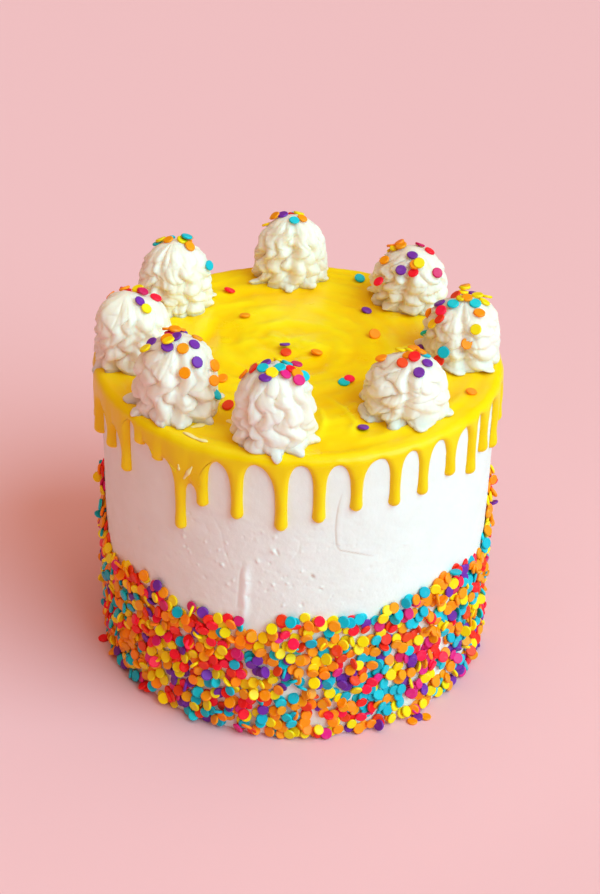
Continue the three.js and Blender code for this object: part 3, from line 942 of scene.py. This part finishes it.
def make_swirls():
    """The eight finished swirls, each grown from the one tree and set down on the glaze."""
    tree, identifiers = swirl_tree(piped_material())
    pieces = []
    for name, swirl in SWIRLS.items():
        values = dict(SWIRL_HABIT)
        values["Crease"] = (swirl["crease"] - swirl["angle"]) / 360 % 1
        values["Calm"] = (CALM_BEARING - swirl["angle"]) / 360
        values.update({key: value for key, value in swirl.items() if key in identifiers})
        mesh = grown_mesh("piped_swirl_" + name, tree, identifiers, values)
        turn = Matrix.Rotation(math.radians(swirl["angle"]), 4, "Z")
        foot = GLAZE_TOP - SWIRL_SUNK
        centre = around(swirl["angle"], swirl["ring"], foot)
        mesh.transform(Matrix.Translation(Vector(centre)) @ turn)
        set_mesh_points(mesh, draped(mesh_points(mesh), foot) * MM)
        piece = new_object(mesh.name, mesh)
        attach(piece, "root")
        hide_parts("swirl_" + name)
        pieces.append(piece)
    return pieces


swirl_pieces = make_swirls()


# Traces of white cream on the glaze: slivers that fell from the nozzle or were dragged along by the
# spatula. Each lies on the glaze and tapers to both ends.
# The points round a sliver and along it, and how deep it lies in the glaze.
TRACE_SIDES = 10
TRACE_STEPS = 18
TRACE_SUNK = 0.15
TRACE_CREAM = (253, 232, 160)
# Each trace as its half width, its thickness and places along it, as [angle, radius, height].
TRACES = {
    "rim": (0.95, 0.9, [(-33.5, 79.4, 137), (-29.9, 80.2, 136.8), (-27, 80.6, 136.4), (-25.2, 80.1, 136.6)]),
    "drip_long": (0.75, 0.8, [(-28.3, 85, 126.6), (-29.6, 85.2, 123), (-30.9, 85.4, 119.6)]),
    "drip_short": (0.5, 0.5, [(-32.5, 85, 125.6), (-32.2, 85.3, 122.8)]),
    "beside_swirl": (1.1, 0.5, [(-26.2, 62.8, 137), (-24.2, 63.6, 137), (-22, 64.4, 137)]),
    "under_swirl": (1.3, 0.7, [(-33.6, 74.6, 137), (-31.5, 71.6, 137), (-30.6, 69, 137)]),
}


def surface_of(pieces):
    """The joined surface of some pieces, in millimetres, for finding places on it."""
    points, faces, count = [], [], 0
    for piece in pieces:
        places = mesh_points(piece.data) / MM
        points += places.tolist()
        faces += [[count + v for v in face.vertices] for face in piece.data.polygons]
        count += len(places)
    return BVHTree.FromPolygons(points, faces)


def cream_traces():
    """One mesh of all the slivers, each a closed tube flattened on to the glaze."""
    surface = surface_of([glaze_piece])
    points, faces = [], []
    share = np.linspace(0, 1, TRACE_STEPS)
    for half, thickness, path in TRACES.values():
        places = np.array([around(*place) for place in path])
        along = np.linspace(0, 1, len(places))
        line = np.stack([np.interp(share, along, places[:, i]) for i in range(3)], -1)
        line[1:-1] = (line[:-2] + 2 * line[1:-1] + line[2:]) / 4
        laid, upright = zip(*[surface.find_nearest(Vector(place))[:2] for place in line])
        laid, upright = np.array(laid), np.array(upright)
        ahead = np.gradient(laid, axis=0)
        aside = np.cross(ahead, upright)
        aside /= np.linalg.norm(aside, axis=1)[:, None]
        taper = np.sin(math.pi * (0.03 + 0.94 * share)) ** 0.4 * (1 + 0.25 * np.sin(9 * share + len(points)))
        first = len(points)
        for turn in np.linspace(0, 2 * math.pi, TRACE_SIDES, endpoint=False):
            over = thickness * taper * (0.5 + 0.5 * math.sin(turn)) - TRACE_SUNK
            ring = laid - aside * (half * taper * math.cos(turn))[:, None] + upright * over[:, None]
            points += ring.tolist()
        for side in range(TRACE_SIDES):
            here, there = first + side * TRACE_STEPS, first + (side + 1) % TRACE_SIDES * TRACE_STEPS
            faces += [(here + i, there + i, there + i + 1, here + i + 1) for i in range(TRACE_STEPS - 1)]
        ends = [first + side * TRACE_STEPS for side in range(TRACE_SIDES)]
        faces += [tuple(ends[::-1]), tuple(end + TRACE_STEPS - 1 for end in ends)]
    material, _, _ = new_material("yellowed_cream", colour(*TRACE_CREAM), 0.5)
    piece = mesh_piece("cream_traces", points, faces, material)
    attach(piece, "root")


cream_traces()


# The confetti: flat round sugar discs in six colours. They were pressed by hand into the soft wall
# in a dense band that climbs from the foot, and sprinkled over the swirls and the glaze.
DISC_RADIUS = 2.4
DISC_THICKNESS = 1.15
DISC_SIDES = 12
# The colours, each with its share of all the discs.
CONFETTI = {
    "orange": ((255, 146, 4), 0.33),
    "yellow": ((255, 217, 0), 0.22),
    "red": ((250, 26, 20), 0.18),
    "teal": ((0, 184, 204), 0.16),
    "purple": ((116, 40, 160), 0.06),
    "magenta": ((222, 30, 112), 0.05),
}
KINDS = list(CONFETTI)
KIND_SHARES = [share for _, share in CONFETTI.values()]
# How often a disc has its neighbour's colour, and how much a disc's size varies.
SAME_AS_NEIGHBOUR = 0.3
SIZE_SPREAD = (0.93, 1.06)
# The band's discs, how many of them stand at the very foot, and how many places are tried for each.
BAND_DISCS = 3400
FOOT_DISCS = 150
BAND_TRIES = 2
# The map of the sprinkled wall: its cell's size and its rows, and the percent of the cells under a
# disc that it lies on or above.
CELL = 0.5
MAP_ROWS = 190
RESTING_PERCENT = 88
# How deep a disc is pressed in, and how far one may stand out of the wall.
PRESSED_IN = 0.15
MOST_PROUD = 3.3
# The steepest that a disc lies by itself, how much they all lean upwards, how much their facings
# scatter, and the few that stick out at a steeper tilt, in radians.
STEEPEST = math.radians(27)
LEAN_UP = 0.22
FACING_SCATTER = 0.16
STEEP_SHARE = 0.12
STEEP_TILTS = (0.75, 1.4)
# The upper edge of the sprinkled band, as [angle, height].
BAND_EDGE = [
    (-180, 66), (-140, 72), (-100, 74), (-88, 84), (-82, 71), (-71, 54), (-60, 59), (-52, 64), (-46, 64.5),
    (-41, 65), (-35, 59), (-30, 61), (-20, 60.5), (-15, 61), (-12, 56), (-8.6, 54.5), (-5, 63), (-1, 65.5),
    (10, 64), (17, 63.6), (23, 62.6), (30.5, 65), (41, 68), (47, 69.6), (55.6, 66), (62, 64), (72, 60),
    (82, 76), (88, 88), (96, 72), (120, 71), (150, 63), (180, 66),
]


def band_edge(angle):
    """The height of the sprinkled band's upper edge."""
    wrapped = (np.asarray(angle) + 180) % 360 - 180
    return np.interp(wrapped, *zip(*BAND_EDGE))


class Band:
    """The wall unrolled, as a map of how far the sprinkles already stand out at each place."""

    def __init__(self):
        self.columns = int(round(2 * math.pi * CAKE_RADIUS / CELL))
        self.proud = np.zeros((MAP_ROWS, self.columns))
        steps = np.arange(-5, 6)
        up, across = np.meshgrid(steps, steps, indexing="ij")
        under = np.hypot(up, across) * CELL <= DISC_RADIUS
        self.up, self.across = up[under], across[under]

    def cells(self, across, up):
        """The cells that a disc at a place covers."""
        rows = np.clip(int(round(up / CELL)) + self.up, 0, self.proud.shape[0] - 1)
        return rows, (int(round(across / CELL)) + self.across) % self.columns

    def lean(self, across, up):
        """How a disc lies there: its slopes, how far out its back is, and its plane over the cells."""
        heights = self.proud[self.cells(across, up)]
        run = (self.up**2).sum() * CELL
        slope_up = (self.up * heights).sum() / run
        slope_across = (self.across * heights).sum() / run
        steep = math.hypot(slope_up, slope_across)
        limit = math.tan(STEEPEST)
        if steep > limit:
            slope_up, slope_across = slope_up * limit / steep, slope_across * limit / steep
        plane = (slope_up * self.up + slope_across * self.across) * CELL
        return slope_across, slope_up, float(np.percentile(heights - plane, RESTING_PERCENT)), plane

    def lay(self, across, up):
        """Adds a disc to the map."""
        _, _, back, plane = self.lean(across, up)
        cells = self.cells(across, up)
        self.proud[cells] = np.maximum(self.proud[cells], back + plane + DISC_THICKNESS * 0.9)


def band_discs():
    """Places and facings of the discs in the wall, from the foot up to the band's ragged edge."""
    chance = np.random.default_rng(21)
    band = Band()
    discs = []
    lowest = DISC_RADIUS * 1.08
    for number in range(BAND_DISCS):
        best = None
        for _ in range(BAND_TRIES):
            angle = chance.uniform(-180, 180)
            top = band_edge(angle) - DISC_RADIUS if number > FOOT_DISCS else lowest + 0.8
            up = lowest + (top - lowest) * chance.uniform(0, 1)
            across = math.radians(angle) * CAKE_RADIUS
            heights = band.proud[band.cells(across, up)]
            score = heights.mean() + 0.5 * heights.max()
            if best is None or score < best[0]:
                best = (score, angle, across, up)
        _, angle, across, up = best
        slope_across, slope_up, back, _ = band.lean(across, up)
        if back > MOST_PROUD - DISC_THICKNESS:
            continue
        band.lay(across, up)
        out = around(angle, 1.0, 0.0)
        beside = around(angle + 90, 1.0, 0.0)
        slope_across, slope_up = np.array([slope_across, slope_up]) + chance.normal(0, FACING_SCATTER, 2)
        if chance.uniform() < STEEP_SHARE:
            tilt = chance.uniform(*STEEP_TILTS)
            heading = chance.uniform(0, 2 * math.pi)
            slope_across, slope_up = math.tan(tilt) * math.cos(heading), math.tan(tilt) * math.sin(heading)
            back += DISC_RADIUS * 0.35
        normal = out - beside * slope_across - np.array([0, 0, 1]) * (slope_up - LEAN_UP)
        normal /= np.linalg.norm(normal)
        middle = wall_radius(angle, up) + back + DISC_THICKNESS / 2 - PRESSED_IN
        discs.append((around(angle, middle, up), normal))
    return discs


def disc_tree():
    """Confetti discs on points, each facing along the point's own direction."""
    tree, taken, given, identifiers = node_tree_with("confetti_discs", ["Radius", "Thickness"])
    disc = add_node(tree, "GeometryNodeMeshCylinder", Vertices=DISC_SIDES, Side_Segments=3)
    tree.links.new(given["Radius"].socket, disc.inputs["Radius"])
    tree.links.new(given["Thickness"].socket, disc.inputs["Depth"])
    position = add_node(tree, "GeometryNodeInputPosition").outputs[0]
    height = Field(tree, add_node(tree, "ShaderNodeSeparateXYZ", Vector=position).outputs["Z"])
    at_end = height.size().math("GREATER_THAN", given["Thickness"] * 0.4)
    narrowing = at_end * -0.15 + 1
    level = combined(tree, narrowing, narrowing, narrowing * 0 + 1)
    rounded = add_node(tree, "ShaderNodeVectorMath", {"operation": "MULTIPLY"})
    tree.links.new(position, rounded.inputs[0])
    tree.links.new(level, rounded.inputs[1])
    soft = add_node(tree, "GeometryNodeSetPosition", Geometry=disc.outputs["Mesh"],
                    Position=rounded.outputs[0])
    shaded = add_node(tree, "GeometryNodeSetShadeSmooth", Geometry=soft.outputs[0],
                      Shade_Smooth=disc.outputs["Side"])
    facing = add_node(tree, "GeometryNodeInputNamedAttribute", {"data_type": "FLOAT_VECTOR"}, Name="facing")
    turned = add_node(tree, "FunctionNodeAlignRotationToVector", {"axis": "Z"}, Vector=facing.outputs[0])
    points = add_node(tree, "GeometryNodeMeshToPoints", Mesh=taken.outputs["Geometry"])
    size = add_node(tree, "GeometryNodeInputNamedAttribute", {"data_type": "FLOAT"}, Name="size")
    laid = add_node(tree, "GeometryNodeInstanceOnPoints", Points=points.outputs[0],
                    Instance=shaded.outputs[0], Rotation=turned.outputs[0], Scale=size.outputs[0])
    real = add_node(tree, "GeometryNodeRealizeInstances", Geometry=laid.outputs[0])
    covered = add_node(tree, "GeometryNodeSetMaterial", Geometry=real.outputs[0])
    tree.links.new(covered.outputs[0], tree.nodes.new("NodeGroupOutput").inputs[0])
    return tree, identifiers, covered


# Discs that the photograph shows on the swirls and the glaze, as [colour, pixel x, pixel y].
SEEN_DISCS = [
    ("purple", 152, 343), ("yellow", 146, 349), ("orange", 167, 339), ("purple", 167, 348),
    ("yellow", 170, 345), ("purple", 177, 338), ("orange", 183, 349), ("purple", 194, 345),
    ("purple", 196, 363), ("orange", 185, 373), ("orange", 213, 366), ("orange", 212, 381),
    ("orange", 223, 380), ("teal", 216, 395),
    ("red", 254, 369), ("purple", 266, 364), ("teal", 263, 369), ("teal", 280, 369), ("yellow", 272, 373),
    ("purple", 265, 381), ("magenta", 284, 376), ("red", 291, 370), ("orange", 296, 376),
    ("magenta", 298, 382), ("teal", 303, 377), ("red", 229, 407),
    ("red", 402, 364), ("orange", 408, 356), ("yellow", 409, 349), ("purple", 420, 350),
    ("teal", 425, 356), ("red", 415, 359), ("purple", 427, 364), ("purple", 419, 373), ("red", 440, 361),
    ("yellow", 126, 289), ("red", 140, 293), ("purple", 139, 302), ("yellow", 146, 309),
    ("purple", 161, 240), ("orange", 169, 241), ("yellow", 182, 241), ("teal", 187, 240),
    ("orange", 189, 247), ("teal", 207, 266), ("orange", 217, 266),
    ("purple", 283, 216), ("teal", 294, 222), ("orange", 302, 219), ("yellow", 331, 258),
    ("yellow", 395, 249), ("orange", 385, 261), ("purple", 412, 257), ("purple", 401, 271),
    ("orange", 415, 266), ("yellow", 419, 264), ("red", 414, 274), ("teal", 428, 246),
    ("magenta", 449, 266), ("magenta", 436, 274), ("red", 379, 282),
    ("orange", 429, 313), ("red", 442, 312), ("red", 441, 321), ("purple", 440, 304), ("red", 456, 296),
    ("teal", 453, 305), ("yellow", 462, 299), ("orange", 467, 300), ("teal", 475, 305),
    ("yellow", 484, 303), ("orange", 479, 314), ("teal", 426, 332), ("yellow", 435, 326),
    ("yellow", 476, 330), ("orange", 466, 344), ("teal", 444, 352),
    ("red", 229, 292), ("orange", 245, 317), ("red", 286, 353), ("purple", 285, 350), ("orange", 316, 355),
    ("teal", 359, 280), ("orange", 374, 336), ("purple", 366, 312), ("teal", 344, 383), ("red", 349, 381),
    ("purple", 363, 430), ("orange", 471, 393),
]
# How many more lie on each swirl, on the side that the photograph doesn't show.
HIDDEN_PER_SWIRL = 7
# How much a landed disc's facing scatters, how strongly it turns towards level, and how far a bump
# under it and the discs under it may raise it.
SEEN_TILT = 0.26
HIDDEN_TILT = 0.2
LEVELLING = 0.35
MOST_ON_BUMP = 1.3
MOST_RAISED = 3
# Discs that fell off and lie beside the foot, as [colour, angle, distance from the axis].
FALLEN_DISCS = [
    ("red", -76, 87), ("orange", 35.4, 88), ("purple", 37.8, 87.2), ("orange", 39.6, 89.2),
]


def landed_discs():
    """The discs on the swirls and the glaze: those seen, and more of the same out of sight."""
    chance = np.random.default_rng(5)
    surface = surface_of([glaze_piece, *swirl_pieces])
    camera_place = Vector(CAMERA_PLACE)
    level = Vector((0, 0, 1))
    landed = [(kind, Vector(around(angle, radius, DISC_THICKNESS / 2)), level)
              for kind, angle, radius in FALLEN_DISCS]

    def land(kind, start, heading, tilt):
        """Lets a disc fall along a line, and lays it on the surface or on the discs that it meets."""
        hit, _, _, _ = surface.ray_cast(start, heading)
        if hit is None:
            return
        beside = heading.orthogonal().normalized()
        under, normal = [], Vector()
        for turn in range(8):
            angle = math.radians(45 * turn)
            shift = beside * math.cos(angle) + heading.cross(beside) * math.sin(angle)
            near, facing, _, _ = surface.ray_cast(start + shift * DISC_RADIUS * 0.75, heading)
            if near is not None and (near - hit).length < 4:
                under.append(near - hit)
                normal += facing if facing.dot(heading) < 0 else -facing
        scatter = Vector(chance.normal(0, tilt, 3))
        normal = (normal.normalized() + level * LEVELLING + scatter).normalized()
        raised = sorted(place.dot(normal) for place in under)[-2:-1] or [0]
        lift = DISC_THICKNESS / 2 - PRESSED_IN + min(max(raised[0], 0), MOST_ON_BUMP)
        for _, place, _ in landed:
            if (place - hit).length < DISC_RADIUS * 1.5:
                lift += DISC_THICKNESS * 0.7
        landed.append((kind, hit + normal * min(lift, MOST_RAISED), normal))

    for kind, x, y in SEEN_DISCS:
        land(kind, camera_place, sight_line(x, y), SEEN_TILT)
    for swirl in SWIRLS.values():
        centre = Vector(around(swirl["angle"], swirl["ring"], GLAZE_TOP + swirl["Height"] * 0.45))
        for _ in range(HIDDEN_PER_SWIRL):
            side = chance.uniform(-85, 85) + 180
            climb = chance.uniform(35, 75)
            away = Vector(around(side, math.cos(math.radians(climb)), math.sin(math.radians(climb))))
            land(chance.choice(KINDS, p=KIND_SHARES), centre + away * 60, -away, HIDDEN_TILT)
    return landed


def confetti_material(name, shade):
    """Matt coloured sugar, a little paler or darker from disc to disc."""
    material, tree, shader = new_material("confetti_" + name, colour(*shade), 0.4)
    shader.inputs["Specular IOR Level"].default_value = 0.25
    tint = add_node(tree, "ShaderNodeAttribute", {"attribute_name": "tint"}).outputs["Fac"]
    grain = place_grain(tree, 1600, 500)
    turned = add_node(tree, "ShaderNodeHueSaturation", Color=colour(*shade),
                      Hue=between(tree, tint, 0, 1, 0.49, 0.51), Value=between(tree, tint, 0, 1, 1.15, 0.92))
    dusted = mixed_colour(tree, between(tree, grain.outputs["Mottle"], 0.55, 0.85, 0, 0.06),
                          turned.outputs["Color"], (1, 1, 1, 1))
    tree.links.new(dusted, shader.inputs["Base Color"])
    roughen(tree, shader, grain, 0.25, 0.0002)
    return material


def confetti():
    """The six pieces of confetti, one for each colour."""
    chance = np.random.default_rng(9)
    heap = {kind: [] for kind in KINDS}
    places, chosen = [], []
    for place, facing in band_discs():
        kind = chance.choice(KINDS, p=KIND_SHARES)
        if places and chance.uniform() < SAME_AS_NEIGHBOUR:
            kind = chosen[int(np.argmin(np.linalg.norm(np.array(places) - place, axis=1)))]
        places.append(place)
        chosen.append(kind)
        heap[kind].append((place, facing))
    for kind, place, facing in landed_discs():
        heap[kind].append((np.array(place), np.array(facing)))
    tree, identifiers, covered = disc_tree()
    for kind, (shade, _) in CONFETTI.items():
        start = bpy.data.meshes.new("confetti_" + kind + "_points")
        start.from_pydata([tuple(place) for place, _ in heap[kind]], [], [])
        facing = start.attributes.new("facing", "FLOAT_VECTOR", "POINT")
        facing.data.foreach_set("vector", np.array([n for _, n in heap[kind]], np.float32).ravel())
        add_attribute(start, "size", chance.uniform(*SIZE_SPREAD, len(heap[kind])))
        add_attribute(start, "tint", chance.uniform(0, 1, len(heap[kind])))
        covered.inputs["Material"].default_value = confetti_material(kind, shade)
        sizes = {"Radius": DISC_RADIUS, "Thickness": DISC_THICKNESS}
        mesh = grown_mesh("confetti_" + kind, tree, identifiers, sizes, start)
        mesh.transform(Matrix.Scale(MM, 4))
        piece = new_object("confetti_" + kind, mesh)
        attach(piece, "root")


confetti()


# The stage: a pale pink floor under wide soft daylight from the right, with a softer light from
# overhead and a warm glow in the shadows. Bearings are from the front, counted to the right.
FLOOR_PINK = (243, 185, 194)
# The floor's side, in metres.
FLOOR_SIZE = 60
# Each light's bearing, climb and spread, in degrees, its colour and its power.
KEY_BEARING = 56
KEY_CLIMB = 37
KEY_SPREAD = 54
KEY_TONE = (0.4, 0.85, 0.955)
KEY_POWER = 3.5
OVERHEAD_BEARING = 60
OVERHEAD_CLIMB = 78
OVERHEAD_SPREAD = 80
OVERHEAD_TONE = (1.0, 0.9, 0.68)
OVERHEAD_POWER = 1.35
ROOM_LIGHT = (1.0, 0.44, 0.24, 1)
ROOM_STRENGTH = 0.3


def wide_light(name, bearing, climb, spread, tone, power):
    """Light from a wide patch of the sky, so that its shadows are soft."""
    data = bpy.data.lights.new(name, "SUN")
    data.color = tone
    data.angle = math.radians(spread)
    data.energy = power
    light = new_object(name, data)
    towards = around(bearing, math.cos(math.radians(climb)), math.sin(math.radians(climb)))
    light.rotation_euler = Vector(towards).to_track_quat("Z", "Y").to_euler()


def stage():
    half = FLOOR_SIZE / 2
    corners = [(-half, -half, 0), (half, -half, 0), (half, half, 0), (-half, half, 0)]
    mesh = bpy.data.meshes.new("floor")
    mesh.from_pydata(corners, [], [(0, 1, 2, 3)])
    material, _, _ = new_material("pale_pink_floor", colour(*FLOOR_PINK), 0.8)
    mesh.materials.append(material)
    floor = new_object("floor", mesh)
    wide_light("key", KEY_BEARING, KEY_CLIMB, KEY_SPREAD, KEY_TONE, KEY_POWER)
    wide_light("overhead", OVERHEAD_BEARING, OVERHEAD_CLIMB, OVERHEAD_SPREAD, OVERHEAD_TONE, OVERHEAD_POWER)
    world = bpy.data.worlds.new("room")
    world.use_nodes = True
    background = world.node_tree.nodes["Background"]
    background.inputs["Color"].default_value = ROOM_LIGHT
    background.inputs["Strength"].default_value = ROOM_STRENGTH
    bpy.context.scene.world = world
    bpy.context.scene.view_settings.view_transform = "Standard"


stage()
